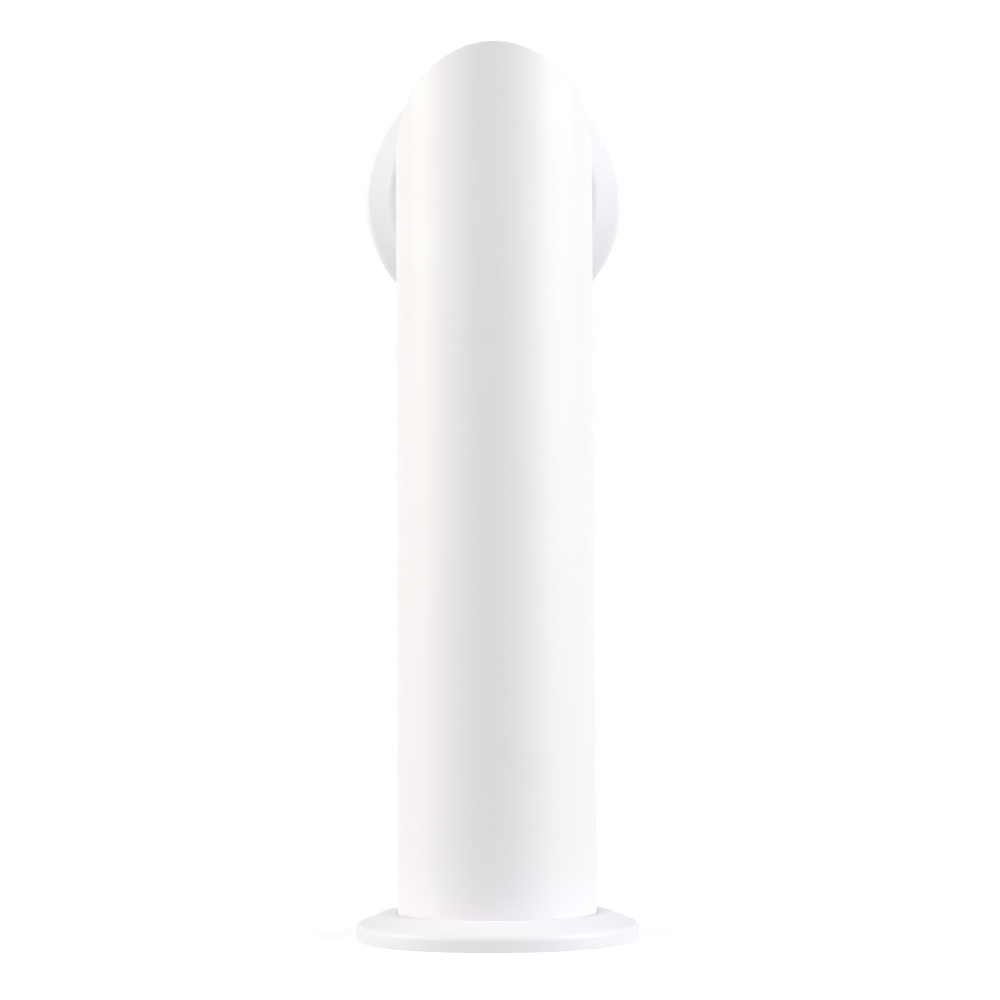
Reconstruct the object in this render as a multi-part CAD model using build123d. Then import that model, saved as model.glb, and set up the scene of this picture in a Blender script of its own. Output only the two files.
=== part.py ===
"""Decorative stove pipe: an upright round pipe whose top turns straight back to the wall.

It is made of four pieces of white coated sheet steel. Two pipes of one diameter are cut at 45 degrees
and meet edge to edge, so the bend is a sharp mitre, open right through. A pressed rosette closes the
gap round the pipe at each end: one stands on the stove or floor, the other lies against the wall.

Sizes are in millimetres. +Z is up and +Y points to the wall. The origin is the centre of the base
rosette, on the plane that it stands on.
"""

import os
from math import ceil, cos, radians, sin, tan

from build123d import *

# The two pipes
pipe_diameter = 125.0  # outside
pipe_wall = 1.0  # rolled sheet
leg_axis_height = 494.0  # from the standing plane up to the axis of the leg that goes to the wall
wall_distance = 170.0  # from the upright's axis back to the wall

# The pressed rosette, the same at the foot and at the wall
rosette_diameter = 178.0
rosette_depth = 17.0  # from its rim to its flat band
rosette_sheet = 1.0
rosette_clearance = 0.2  # all round, between the rosette's collar and the pipe
band_width = 9.5  # flat ring next to the pipe, from the pipe's skin to where it would meet the shoulder
rim_height = 9.7  # upright edge, measured to where the sloping shoulder would meet it
collar_depth = 8.0  # lip turned inwards, along the pipe
collar_bend = 3.0  # outside radius where the lip leaves the band
band_bend = 15.0  # outside radius of the soft crown where the band turns into the shoulder
rim_bend = 4.5  # outside radius where the shoulder turns into the rim
bend_step = 35.0  # a bend in the sheet is made of straight facets that turn at most this many degrees

pipe_radius = pipe_diameter / 2
mitre_plane = Plane(origin=(0, 0, leg_axis_height), z_dir=(0, 1, 1))


def tube(length):
    """Open pipe along +Z, its lower end at the origin."""
    section = Circle(pipe_radius) - Circle(pipe_radius - pipe_wall)
    return extrude(section, length)


def upright_pipe():
    """The standing pipe, from the base plane up to the mitre."""
    blank = tube(leg_axis_height + pipe_radius)
    return split(blank, bisect_by=mitre_plane, keep=Keep.BOTTOM)


def wall_pipe():
    """The short leg, from the mitre back to the wall."""
    start = Plane(origin=(0, -pipe_radius, leg_axis_height), x_dir=(1, 0, 0), z_dir=(0, 1, 0))
    blank = start * tube(pipe_radius + wall_distance)
    return split(blank, bisect_by=mitre_plane, keep=Keep.TOP)


def bend(before, corner, after, radius):
    """Points that take the skin round a corner at this radius."""
    before, corner, after = Vector(before), Vector(corner), Vector(after)
    ahead = (corner - before).normalized()
    leaving = (after - corner).normalized()
    turn = radians(ahead.get_angle(leaving))
    aside = (leaving - ahead * cos(turn)).normalized()
    start = corner - ahead * radius * tan(turn / 2)
    facets = ceil(turn / radians(bend_step))
    angles = [turn * facet / facets for facet in range(facets + 1)]
    return [start + ahead * radius * sin(a) + aside * radius * (1 - cos(a)) for a in angles]


def rosette():
    """Pressed ring, its rim on the plane Z = 0 and its bore along +Z."""
    bore = pipe_radius + rosette_clearance
    band_edge = pipe_radius + band_width
    rim = rosette_diameter / 2

    collar_end = (bore, rosette_depth - collar_depth)
    collar_top = (bore, rosette_depth)
    shoulder_top = (band_edge, rosette_depth)
    shoulder_foot = (rim, rim_height)
    rim_end = (rim, 0)

    skin = Polyline(
        collar_end,
        *bend(collar_end, collar_top, shoulder_top, collar_bend),
        *bend(collar_top, shoulder_top, shoulder_foot, band_bend),
        *bend(shoulder_top, shoulder_foot, rim_end, rim_bend),
        rim_end,
    )
    section = make_face(offset(skin, rosette_sheet, side=Side.RIGHT, kind=Kind.INTERSECTION))
    return revolve(Plane.XZ * section, Axis.Z)


def base_rosette():
    """Stands on the floor round the foot of the upright pipe."""
    return rosette()


def wall_rosette():
    """Lies against the wall round the end of the leg, its band towards the room."""
    wall = Plane(origin=(0, wall_distance, leg_axis_height), x_dir=(1, 0, 0), z_dir=(0, -1, 0))
    return wall * rosette()


def main():
    os.makedirs("parts", exist_ok=True)
    for make in (upright_pipe, wall_pipe, base_rosette, wall_rosette):
        export_step(make(), f"parts/{make.__name__}.step")


main()
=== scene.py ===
import math

import bmesh
import bpy
from mathutils import Matrix, Vector


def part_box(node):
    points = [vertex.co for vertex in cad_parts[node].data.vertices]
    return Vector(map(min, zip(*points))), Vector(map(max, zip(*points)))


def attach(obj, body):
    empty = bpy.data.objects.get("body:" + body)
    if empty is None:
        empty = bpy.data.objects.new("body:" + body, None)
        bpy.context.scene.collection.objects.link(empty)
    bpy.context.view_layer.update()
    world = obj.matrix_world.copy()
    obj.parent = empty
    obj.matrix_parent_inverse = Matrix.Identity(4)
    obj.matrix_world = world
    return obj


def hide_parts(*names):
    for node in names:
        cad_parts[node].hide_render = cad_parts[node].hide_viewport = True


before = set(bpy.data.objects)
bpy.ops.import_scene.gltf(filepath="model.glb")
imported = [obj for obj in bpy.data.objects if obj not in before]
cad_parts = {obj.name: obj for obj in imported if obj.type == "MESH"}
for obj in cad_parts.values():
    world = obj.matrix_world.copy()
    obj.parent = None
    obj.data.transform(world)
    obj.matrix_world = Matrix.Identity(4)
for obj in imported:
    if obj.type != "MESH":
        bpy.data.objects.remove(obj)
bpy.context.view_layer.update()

MM = 0.001
SAME_PLACE = 0.001 * MM  # vertices nearer to each other, or to a plane, than this meet

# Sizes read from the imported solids
upright_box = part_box("upright_pipe")
leg_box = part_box("wall_pipe")
rosette_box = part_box("base_rosette")
pipe_radius = upright_box[1].x
leg_height = (leg_box[0].z + leg_box[1].z) / 2
wall_distance = leg_box[1].y
rosette_radius = rosette_box[1].x
rosette_depth = rosette_box[1].z

# The sheet, and a rosette's section from its collar to its rim, with outside radii. The flat band and its
# bend are a little smaller here than in the solids, as the crescents seen at the wall ask.
PIPE_WALL = 1.0 * MM
SHEET = 1.0 * MM
CLEARANCE = 0.2 * MM  # between a rosette's collar and the pipe
BAND_WIDTH = 8.5 * MM  # flat ring next to the pipe, to where it would meet the shoulder
RIM_HEIGHT = 9.7 * MM  # to where the sloping shoulder would meet the rim
COLLAR_DEPTH = 8.0 * MM  # lip turned inwards along the pipe
COLLAR_BEND = 3.0 * MM
BAND_BEND = 10.0 * MM
RIM_BEND = 4.5 * MM
CUT_EDGE = 0.25 * MM  # rounding that the coating gives a cut edge

# The weld in the throat of the mitre
WELD_LEG = 2.6 * MM  # how far the bead reaches along each pipe
WELD_ROOT = 0.5 * MM  # how deep it goes into the walls
WELD_REACH = math.radians(84)  # how far it runs round the pipe, each way from the throat
WELD_RIPPLE = 1.8 * MM  # from one ripple to the next
RIPPLE_DEPTH = 0.03 * MM

# How finely the turned and rounded shapes are divided
TURN_STEPS = 192
BEND_STEPS = 8
EDGE_STEPS = 2
CUT_ANGLE = math.radians(60)  # an edge that turns more than this is a cut one, and is rounded
CREASE_ANGLE = math.radians(30)  # an edge of the weld that turns more than this is shaded sharp

# Finish of the coating and the steel: each film's white where it is thin and where it is thick
PIPE_WHITES = ("#F2EEF4", "#F4F1F7")
ROSETTE_WHITES = ("#F2F0F7", "#F4F2F8")  # another batch, a trace cooler
THIN_FILM_ROUGHNESS = 0.44
THICK_FILM_ROUGHNESS = 0.40
FILM_IOR = 1.5  # of the resin that binds the powder
PEEL_CELL = 2.2 * MM  # orange peel, from one cell to the next
PEEL_DEPTH = 0.008 * MM
FILM_PATCH = 45 * MM  # slow change in the film's thickness
SEAM_WIDTH = 4.4 * MM  # lengthwise weld of a pipe, ground flush and coated over
SEAM_RISE = 0.03 * MM
BARE_FROM = 0.85 * PIPE_WALL  # how far under a pipe's outer skin its bare inside starts
STEEL_GREYS = ("#8A8D91", "#ABAEB1")
STEEL_ROUGHNESS = 0.42
ROLLING_LINE = 1.0 * MM  # real ones are finer, and would not show
ROLLING_SQUEEZE = 0.03  # across the pipe, which draws the lines out round it
OVERSPRAY_DEPTH = 80 * MM  # how far powder drifts into a pipe's open end
OVERSPRAY_RAGGED = 0.7 * OVERSPRAY_DEPTH  # how far its edge wanders
OVERSPRAY_PATCH = 14 * MM  # from one cloud of it to the next
BARE_AT_END = 0.1  # share of steel that shows at the open end itself

# Camera, fitted to the outline in the photograph
CAMERA_PLACE = Vector((-3.75, -1797.7, 180.7)) * MM
CAMERA_TILT_UP = 0.053
CAMERA_TURN = 0.0037
CAMERA_ROLL = -0.0045
CAMERA_LENS = 102.2
CAMERA_SENSOR = 36.0
CAMERA_NEAREST = 0.05
CAMERA_FARTHEST = 50.0

# Softboxes round the part, each turned to its foot: from one bearing to another, where 0 is the camera's
# side and 90 is the right, from one angle above the floor to another, all in degrees, then the watts and
# the colour
SOFTBOXES = {
    "left_softbox": (-102, -78, 1, 50, 324.0, "#FEFFF3"),
    "left_front_softbox": (-78, -56, 1, 50, 168.0, "#FEFFF3"),
    "left_fill_softbox": (-56, -34, 1, 50, 158.0, "#FFFEFF"),
    "right_fill_softbox": (32, 54, 1, 50, 84.0, "#FFF8FF"),
    "right_front_softbox": (54, 76, 1, 50, 346.0, "#FAFFFA"),
    "right_softbox": (76, 98, 1, 50, 230.0, "#FAFFFA"),
    "high_right_softbox": (76, 98, 50, 80, 12.0, "#FAFFFA"),
    "back_softbox": (150, 210, 1, 50, 24.0, "#FFFFFF"),
}
SOFTBOX_DISTANCE = 8.0

# The floor: how much lighter it is seen than it is lit near the foot, and how far from the upright's axis
# it starts to turn, and has turned, to plain white
FLOOR_REACH = 8.0
FLOOR_WHITE = "#CCCCCC"
FOOT_GLOW = 0.6
SHADOW_START = 0.09
SHADOW_END = 0.13

# Nearly all of a noise texture lies between these
NOISE_LOW = 0.3
NOISE_HIGH = 0.7

# Sockets of a Mix node that mixes colours
COLOUR_A = 6
COLOUR_B = 7
COLOUR_RESULT = 2


def linear(hex_colour):
    """An sRGB hex colour as the linear RGBA that the shaders take."""
    channels = [int(hex_colour[i : i + 2], 16) / 255 for i in (1, 3, 5)]
    curve = [c / 12.92 if c <= 0.04045 else ((c + 0.055) / 1.055) ** 2.4 for c in channels]
    return (*curve, 1.0)


def add_node(tree, kind, inputs=None, **settings):
    """Adds a node with its settings. Each input gets a value, or a link from another node's output."""
    node = tree.nodes.new(kind)
    for name, value in settings.items():
        setattr(node, name, value)
    for name, value in (inputs or {}).items():
        if isinstance(value, bpy.types.NodeSocket):
            tree.links.new(value, node.inputs[name])
        else:
            node.inputs[name].default_value = value
    return node


def new_material(name):
    material = bpy.data.materials.new(name)
    material.use_nodes = True
    material.node_tree.nodes.clear()
    return material, material.node_tree


def own_place(tree, scale=(1, 1, 1), turn=(0, 0, 0), shift=(0, 0, 0)):
    """Object coordinates, turned and shifted to a piece's own axis."""
    where = add_node(tree, "ShaderNodeTexCoord")
    placed = add_node(
        tree,
        "ShaderNodeMapping",
        {"Vector": where.outputs["Object"], "Scale": scale, "Rotation": turn, "Location": shift},
    )
    return placed.outputs["Vector"]


def melted_powder(tree, place, whites, relief=None):
    """White powder melted to a film with a soft gloss: its colour, its roughness and its surface.

    The film flows to a soft orange peel, which breaks up the edge of each reflection a little. Where it
    lies thinner it is a trace duller. Relief is a surface under the film.
    """
    peel = add_node(
        tree,
        "ShaderNodeTexNoise",
        {"Vector": place, "Scale": 1 / PEEL_CELL, "Detail": 1.0, "Roughness": 0.4},
    )
    film = add_node(
        tree,
        "ShaderNodeTexNoise",
        {"Vector": place, "Scale": 1 / FILM_PATCH, "Detail": 2.0, "Roughness": 0.5},
    )
    colour = add_node(
        tree,
        "ShaderNodeMix",
        {
            "Factor": film.outputs["Fac"],
            COLOUR_A: linear(whites[0]),
            COLOUR_B: linear(whites[1]),
        },
        data_type="RGBA",
    )
    gloss = add_node(
        tree,
        "ShaderNodeMapRange",
        {
            "Value": film.outputs["Fac"],
            "From Min": NOISE_LOW,
            "From Max": NOISE_HIGH,
            "To Min": THIN_FILM_ROUGHNESS,
            "To Max": THICK_FILM_ROUGHNESS,
        },
    )
    surface = add_node(
        tree,
        "ShaderNodeBump",
        {"Height": peel.outputs["Fac"], "Strength": 1.0, "Distance": PEEL_DEPTH},
    )
    if relief:
        tree.links.new(relief, surface.inputs["Normal"])
    return colour.outputs[COLOUR_RESULT], gloss.outputs["Result"], surface.outputs["Normal"]


def finish_material(tree, colour, gloss, surface, metallic=0.0):
    shader = add_node(
        tree,
        "ShaderNodeBsdfPrincipled",
        {
            "Base Color": colour,
            "Roughness": gloss,
            "Normal": surface,
            "Metallic": metallic,
            "IOR": FILM_IOR,
        },
    )
    add_node(tree, "ShaderNodeOutputMaterial", {"Surface": shader.outputs["BSDF"]})


def coated_pressed_steel():
    """Pressed sheet steel, powder coated on both sides: clean white with soft highlights."""
    material, tree = new_material("white_powder_coating_on_pressed_steel")
    finish_material(tree, *melted_powder(tree, own_place(tree), ROSETTE_WHITES))
    return material


def coated_weld_bead():
    """Weld bead under the coating: crescent ripples that the film has softened.

    The coordinates are turned to the plane of the mitre, so that the ripples follow each other round it.
    """
    material, tree = new_material("white_powder_coating_on_weld_bead")
    drop = leg_height * math.sqrt(0.5)
    place = own_place(tree, turn=(math.radians(45), 0, 0), shift=(0, drop, -drop))
    around = add_node(tree, "ShaderNodeTexGradient", {"Vector": place}, gradient_type="RADIAL")
    axes = add_node(tree, "ShaderNodeSeparateXYZ", {"Vector": place})
    off_centre = add_node(
        tree, "ShaderNodeMath", {0: axes.outputs["Z"], 1: WELD_LEG}, operation="DIVIDE"
    )
    lag = add_node(tree, "ShaderNodeMath", {0: off_centre.outputs[0], 1: 2.0}, operation="POWER")
    ripples_in_a_turn = 2 * math.pi * pipe_radius * math.sqrt(2) / WELD_RIPPLE
    phase = add_node(
        tree,
        "ShaderNodeMath",
        {0: around.outputs["Fac"], 1: 2 * math.pi * ripples_in_a_turn, 2: lag.outputs[0]},
        operation="MULTIPLY_ADD",
    )
    ripple = add_node(tree, "ShaderNodeMath", {0: phase.outputs[0]}, operation="SINE")
    relief = add_node(
        tree,
        "ShaderNodeBump",
        {"Height": ripple.outputs[0], "Strength": 1.0, "Distance": RIPPLE_DEPTH},
    )
    finish_material(tree, *melted_powder(tree, place, PIPE_WHITES, relief.outputs["Normal"]))
    return material


def coated_pipe_steel(name, **axis):
    """Rolled sheet steel, powder coated outside and bare inside.

    In the pipe's own coordinates +Z runs up its axis from the open end, and its lengthwise weld is at +Y.
    Inside, the eye gets dull grey steel, whitened near the open end by powder that drifted in.
    """
    material, tree = new_material(name)
    place = own_place(tree, **axis)
    axes = add_node(tree, "ShaderNodeSeparateXYZ", {"Vector": place})

    # The lengthwise weld: a flat swelling along the back of the pipe
    beside = add_node(tree, "ShaderNodeMath", {0: axes.outputs["X"]}, operation="ABSOLUTE")
    swelling = add_node(
        tree,
        "ShaderNodeMapRange",
        {
            "Value": beside.outputs[0],
            "From Min": 0.0,
            "From Max": SEAM_WIDTH / 2,
            "To Min": 1.0,
            "To Max": 0.0,
        },
        interpolation_type="SMOOTHSTEP",
    )
    behind = add_node(
        tree, "ShaderNodeMath", {0: axes.outputs["Y"], 1: 0.0}, operation="GREATER_THAN"
    )
    seam = add_node(
        tree,
        "ShaderNodeMath",
        {0: swelling.outputs["Result"], 1: behind.outputs[0]},
        operation="MULTIPLY",
    )
    relief = add_node(
        tree,
        "ShaderNodeBump",
        {"Height": seam.outputs[0], "Strength": 1.0, "Distance": SEAM_RISE},
    )
    white, gloss, surface = melted_powder(tree, place, PIPE_WHITES, relief.outputs["Normal"])

    # The distance from the axis tells the inside from the coated outside and the coated cut edge
    across = add_node(
        tree, "ShaderNodeVectorMath", {0: place, 1: (1, 1, 0)}, operation="MULTIPLY"
    )
    radius = add_node(tree, "ShaderNodeVectorMath", {0: across.outputs[0]}, operation="LENGTH")
    inside = add_node(
        tree,
        "ShaderNodeMath",
        {0: radius.outputs["Value"], 1: pipe_radius - BARE_FROM},
        operation="LESS_THAN",
    )

    # Overspray, with a ragged edge where it thins out
    drift = add_node(
        tree,
        "ShaderNodeTexNoise",
        {"Vector": place, "Scale": 1 / OVERSPRAY_PATCH, "Detail": 5.0, "Roughness": 0.7},
    )
    depth = add_node(
        tree,
        "ShaderNodeMath",
        {0: drift.outputs["Fac"], 1: OVERSPRAY_RAGGED, 2: axes.outputs["Z"]},
        operation="MULTIPLY_ADD",
    )
    bare = add_node(
        tree,
        "ShaderNodeMapRange",
        {
            "Value": depth.outputs[0],
            "From Min": OVERSPRAY_RAGGED / 2,
            "From Max": OVERSPRAY_RAGGED / 2 + OVERSPRAY_DEPTH,
            "To Min": BARE_AT_END,
            "To Max": 1.0,
        },
        interpolation_type="SMOOTHSTEP",
    )
    steel = add_node(
        tree,
        "ShaderNodeMath",
        {0: inside.outputs[0], 1: bare.outputs["Result"]},
        operation="MULTIPLY",
    )

    # Cold rolled steel: faint lines round the pipe from the rolls
    stretched = add_node(
        tree,
        "ShaderNodeVectorMath",
        {0: place, 1: (ROLLING_SQUEEZE, ROLLING_SQUEEZE, 1)},
        operation="MULTIPLY",
    )
    rolling = add_node(
        tree,
        "ShaderNodeTexNoise",
        {"Vector": stretched.outputs[0], "Scale": 1 / ROLLING_LINE, "Detail": 3.0},
    )
    metal = add_node(
        tree,
        "ShaderNodeMix",
        {
            "Factor": rolling.outputs["Fac"],
            COLOUR_A: linear(STEEL_GREYS[0]),
            COLOUR_B: linear(STEEL_GREYS[1]),
        },
        data_type="RGBA",
    )
    colour = add_node(
        tree,
        "ShaderNodeMix",
        {
            "Factor": steel.outputs[0],
            COLOUR_A: white,
            COLOUR_B: metal.outputs[COLOUR_RESULT],
        },
        data_type="RGBA",
    )
    dull = add_node(
        tree,
        "ShaderNodeMapRange",
        {"Value": inside.outputs[0], "To Min": gloss, "To Max": STEEL_ROUGHNESS},
    )
    finish_material(
        tree,
        colour.outputs[COLOUR_RESULT],
        dull.outputs["Result"],
        surface,
        steel.outputs[0],
    )
    return material


def finished_piece(mesh, name, material):
    """The piece in the scene, smooth all over, riding on the object's one body."""
    for face in mesh.faces:
        face.smooth = True
    data = bpy.data.meshes.new(name)
    mesh.to_mesh(data)
    mesh.free()
    data.materials.append(material)
    piece = bpy.data.objects.new(name, data)
    bpy.context.scene.collection.objects.link(piece)
    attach(piece, "root")
    return piece


def everything(mesh):
    return mesh.verts[:] + mesh.edges[:] + mesh.faces[:]


def verts_among(parts):
    return [part for part in parts if isinstance(part, bmesh.types.BMVert)]


def pressed_rosette(name, node, place, material):
    """Ring turned from its outer skin, then given the sheet's thickness inwards."""
    mesh = bmesh.new()
    bore = pipe_radius + CLEARANCE
    outline = (
        (bore, rosette_depth - COLLAR_DEPTH, None),
        (bore, rosette_depth, COLLAR_BEND),
        (pipe_radius + BAND_WIDTH, rosette_depth, BAND_BEND),
        (rosette_radius, RIM_HEIGHT, RIM_BEND),
        (rosette_radius, 0, None),
    )
    corners = [mesh.verts.new((across, 0, up)) for across, up, _ in outline]
    for here, there in zip(corners, corners[1:]):
        mesh.edges.new((here, there))
    for corner, (_, _, radius) in zip(corners, outline):
        if radius:
            one_way, other_way = (edge.other_vert(corner).co - corner.co for edge in corner.link_edges)
            turn = math.pi - one_way.angle(other_way)
            bmesh.ops.bevel(
                mesh,
                geom=[corner],
                affect="VERTICES",
                offset=radius * math.tan(turn / 2),
                offset_type="OFFSET",
                segments=BEND_STEPS,
                profile=0.5,
                material=-1,
            )
    bmesh.ops.spin(
        mesh,
        geom=mesh.verts[:] + mesh.edges[:],
        cent=(0, 0, 0),
        axis=(0, 0, 1),
        angle=2 * math.pi,
        steps=TURN_STEPS,
        use_merge=True,
    )
    bmesh.ops.recalc_face_normals(mesh, faces=mesh.faces[:])
    bmesh.ops.transform(mesh, matrix=place, verts=mesh.verts[:])

    piece = finished_piece(mesh, name, material)
    sheet = piece.modifiers.new("sheet", "SOLIDIFY")
    sheet.thickness = SHEET
    sheet.offset = -1
    sheet.use_even_offset = True
    edges = piece.modifiers.new("coated_edges", "BEVEL")
    edges.width = CUT_EDGE
    edges.segments = EDGE_STEPS
    edges.limit_method = "ANGLE"
    edges.angle_limit = CUT_ANGLE
    flats = piece.modifiers.new("true_flats", "WEIGHTED_NORMAL")
    flats.weight = 100
    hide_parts(node)
    return piece


def mitre_weld(material):
    """Fillet weld in the throat, where the leg's underside meets the back of the upright.

    Both pipes' skins are made up to the mitre, and the edge between them is rounded. In the throat the
    rounded strip is the face of the bead, and a copy of it, moved into the walls, closes it behind.
    """
    mesh = bmesh.new()
    middle = Vector((0, 0, leg_height))
    facing = Vector((0, 1, 1)).normalized()
    reach = 2 * pipe_radius  # past the whole mitre, below its middle and above
    ring = bmesh.ops.create_circle(mesh, radius=pipe_radius, segments=TURN_STEPS)["verts"]
    bmesh.ops.translate(mesh, verts=ring, vec=middle - Vector((0, 0, reach)))
    drawn = bmesh.ops.extrude_edge_only(mesh, edges=mesh.edges[:])["geom"]
    bmesh.ops.translate(mesh, verts=verts_among(drawn), vec=(0, 0, 2 * reach))
    bmesh.ops.bisect_plane(
        mesh, geom=everything(mesh), plane_co=middle, plane_no=facing, clear_outer=True
    )
    twin = bmesh.ops.duplicate(mesh, geom=everything(mesh))["geom"]
    bmesh.ops.transform(
        mesh,
        matrix=Matrix.Translation(middle) @ Matrix.Scale(-1, 4, facing) @ Matrix.Translation(-middle),
        verts=verts_among(twin),
    )
    bmesh.ops.remove_doubles(mesh, verts=mesh.verts[:], dist=SAME_PLACE)
    bmesh.ops.recalc_face_normals(mesh, faces=mesh.faces[:])

    on_mitre = [
        edge
        for edge in mesh.edges
        if all(abs((vert.co - middle).dot(facing)) < SAME_PLACE for vert in edge.verts)
    ]
    rounded = bmesh.ops.bevel(
        mesh,
        geom=on_mitre,
        affect="EDGES",
        offset=WELD_LEG,
        offset_type="OFFSET",
        segments=BEND_STEPS,
        profile=0.5,
        material=-1,
    )["faces"]
    least_y = pipe_radius * math.cos(WELD_REACH)
    bead = {face for face in rounded if face.calc_center_median().y > least_y}
    bmesh.ops.delete(mesh, geom=[face for face in mesh.faces if face not in bead], context="FACES")

    root = bmesh.ops.extrude_face_region(mesh, geom=mesh.faces[:], use_keep_orig=True)["geom"]
    bmesh.ops.translate(mesh, verts=verts_among(root), vec=(0, -WELD_ROOT, WELD_ROOT))
    bmesh.ops.recalc_face_normals(mesh, faces=mesh.faces[:])
    for edge in mesh.edges:
        edge.smooth = edge.calc_face_angle(0) < CREASE_ANGLE
    return finished_piece(mesh, "mitre_weld", material)


def camera():
    """The photograph's own view: its place, then how far it looks up, turns and leans, in radians."""
    data = bpy.data.cameras.new("camera")
    data.lens = CAMERA_LENS
    data.sensor_width = CAMERA_SENSOR
    data.clip_start = CAMERA_NEAREST
    data.clip_end = CAMERA_FARTHEST
    seen = bpy.data.objects.new("camera", data)
    bpy.context.scene.collection.objects.link(seen)
    ahead = Vector(
        (
            math.sin(CAMERA_TURN) * math.cos(CAMERA_TILT_UP),
            math.cos(CAMERA_TURN) * math.cos(CAMERA_TILT_UP),
            math.sin(CAMERA_TILT_UP),
        )
    )
    level = Vector((math.cos(CAMERA_TURN), -math.sin(CAMERA_TURN), 0))
    over = level.cross(ahead)
    right = math.cos(CAMERA_ROLL) * level + math.sin(CAMERA_ROLL) * over
    up = -math.sin(CAMERA_ROLL) * level + math.cos(CAMERA_ROLL) * over
    place = Matrix((right, up, -ahead)).transposed().to_4x4()
    place.translation = CAMERA_PLACE
    seen.matrix_world = place
    bpy.context.scene.camera = seen


def studio_lights():
    """Soft rectangular lights that don't show themselves to the camera."""
    for name, (start, end, low, high, power, colour) in SOFTBOXES.items():
        bearing = math.radians((start + end) / 2)
        rise = math.radians((low + high) / 2)
        level = Vector((math.sin(bearing), -math.cos(bearing), 0))
        outwards = math.cos(rise) * level + Vector((0, 0, math.sin(rise)))
        data = bpy.data.lights.new(name, "AREA")
        data.shape = "RECTANGLE"
        data.size = 2 * SOFTBOX_DISTANCE * math.tan(math.radians(end - start) / 2) * math.cos(rise)
        data.size_y = 2 * SOFTBOX_DISTANCE * math.tan(math.radians(high - low) / 2)
        data.energy = power
        data.color = linear(colour)[:3]
        lamp = bpy.data.objects.new(name, data)
        bpy.context.scene.collection.objects.link(lamp)
        lamp.location = SOFTBOX_DISTANCE * outwards
        lamp.rotation_euler = (-outwards).to_track_quat("-Z", "Y").to_euler()
        lamp.visible_camera = False


def is_seen(tree):
    """1 for what the camera sees, straight or by way of a gloss or clear surface, and 0 for what lights."""
    ray = add_node(tree, "ShaderNodeLightPath")
    straight = add_node(
        tree,
        "ShaderNodeMath",
        {0: ray.outputs["Is Camera Ray"], 1: ray.outputs["Is Glossy Ray"]},
        operation="MAXIMUM",
    )
    seen = add_node(
        tree,
        "ShaderNodeMath",
        {0: straight.outputs[0], 1: ray.outputs["Is Transmission Ray"]},
        operation="MAXIMUM",
    )
    return seen.outputs[0]


def white_surroundings():
    """White all round where it is seen, straight or in a gloss. It lights nothing else."""
    world = bpy.data.worlds.new("white_surroundings")
    bpy.context.scene.world = world
    world.use_nodes = True
    tree = world.node_tree
    tree.nodes.clear()
    white = add_node(
        tree, "ShaderNodeBackground", {"Color": (1, 1, 1, 1), "Strength": is_seen(tree)}
    )
    add_node(tree, "ShaderNodeOutputWorld", {"Surface": white.outputs["Background"]})


def white_floor():
    """Matt white floor. Near the foot it is seen lighter than it is lit, and a short way off it is plain
    white, so that only the shadow at the foot shows."""
    material, tree = new_material("matt_white_floor")
    seen = is_seen(tree)
    matt = add_node(tree, "ShaderNodeBsdfDiffuse", {"Color": linear(FLOOR_WHITE)})
    strength = add_node(tree, "ShaderNodeMath", {0: seen, 1: FOOT_GLOW}, operation="MULTIPLY")
    glow = add_node(
        tree, "ShaderNodeEmission", {"Color": (1, 1, 1, 1), "Strength": strength.outputs[0]}
    )
    at_foot = add_node(tree, "ShaderNodeAddShader", {0: matt.outputs[0], 1: glow.outputs[0]})
    plain_white = add_node(tree, "ShaderNodeEmission", {"Color": (1, 1, 1, 1), "Strength": 1.0})
    away = add_node(tree, "ShaderNodeVectorMath", {0: own_place(tree)}, operation="LENGTH")
    off = add_node(
        tree,
        "ShaderNodeMapRange",
        {"Value": away.outputs["Value"], "From Min": SHADOW_START, "From Max": SHADOW_END},
    )
    share = add_node(
        tree, "ShaderNodeMath", {0: off.outputs["Result"], 1: seen}, operation="MULTIPLY"
    )
    floor_look = add_node(
        tree,
        "ShaderNodeMixShader",
        {0: share.outputs[0], 1: at_foot.outputs[0], 2: plain_white.outputs[0]},
    )
    add_node(tree, "ShaderNodeOutputMaterial", {"Surface": floor_look.outputs[0]})
    mesh = bmesh.new()
    bmesh.ops.create_grid(mesh, x_segments=1, y_segments=1, size=FLOOR_REACH)
    data = bpy.data.meshes.new("floor")
    mesh.to_mesh(data)
    mesh.free()
    data.materials.append(material)
    floor = bpy.data.objects.new("floor", data)
    bpy.context.scene.collection.objects.link(floor)


camera()
studio_lights()
white_surroundings()
white_floor()
bpy.context.scene.view_settings.view_transform = "Standard"

upright_steel = coated_pipe_steel("white_powder_coating_on_upright_pipe")
leg_steel = coated_pipe_steel(
    "white_powder_coating_on_wall_pipe",
    scale=(1, -1, 1),
    turn=(math.radians(90), 0, 0),
    shift=(0, leg_height, wall_distance),
)
for node, steel in (("upright_pipe", upright_steel), ("wall_pipe", leg_steel)):
    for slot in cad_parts[node].material_slots:
        slot.material = steel

pressed_steel = coated_pressed_steel()
on_floor = Matrix.Identity(4)
on_wall = Matrix.Translation((0, wall_distance, leg_height)) @ Matrix.Rotation(math.radians(90), 4, "X")
pressed_rosette("rosette_at_foot", "base_rosette", on_floor, pressed_steel)
pressed_rosette("rosette_at_wall", "wall_rosette", on_wall, pressed_steel)
mitre_weld(coated_weld_bead())
